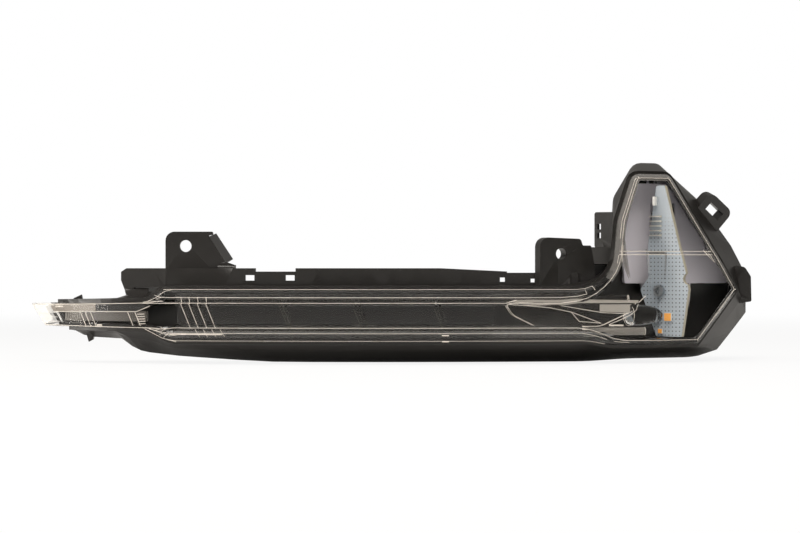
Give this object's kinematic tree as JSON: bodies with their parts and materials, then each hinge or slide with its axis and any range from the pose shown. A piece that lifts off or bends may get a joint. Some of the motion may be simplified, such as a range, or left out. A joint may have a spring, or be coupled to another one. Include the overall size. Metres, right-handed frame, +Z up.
{
  "type": "mirror turn signal lamp",
  "caption": "Wrap-round turn signal lamp for a door mirror: black tub with fixing ears, clear stepped lens, light guides and a circuit board in its tall inner head.",
  "frame": {"origin": "centre of the left ear's hole on the ear's front face", "axes": "+X along the bar towards the tall head, +Y to the back of the lamp, +Z up"},
  "size_m": [0.2472, 0.0563, 0.0674],
  "materials": {
    "housing": "moulded black plastic, satin",
    "lens": "polished clear acrylic",
    "trim": "gloss black",
    "panel": "matt grey",
    "light_guide": "polished clear acrylic",
    "board": "grey-blue solder resist",
    "led_amber": "amber silicone in a white package",
    "led_white": "white package",
    "chip_black": "black moulding compound",
    "capacitor": "tan ceramic",
    "contact_metal": "tinned",
    "screw_steel": "zinc plated",
    "membrane": "white vent fleece"
  },
  "bodies": {
    "root": {"housing": "housing", "outer_lens": "lens", "bar_bezel": "trim", "head_reflector": "panel", "upper_light_guide": "light_guide", "lower_light_guide": "light_guide", "tip_light_guide": "light_guide", "circuit_board": "board", "main_led": "led_amber", "lower_led": "led_amber", "head_led": "led_white", "driver_chip": "chip_black", "input_diode": "chip_black", "capacitor_1": "capacitor", "capacitor_2": "capacitor", "resistor_1": "chip_black", "resistor_2": "chip_black", "resistor_3": "chip_black", "pin_header": "chip_black", "connector_pins": "contact_metal", "board_screws": "screw_steel", "vent_membrane": "membrane"}
  },
  "joints": []
}
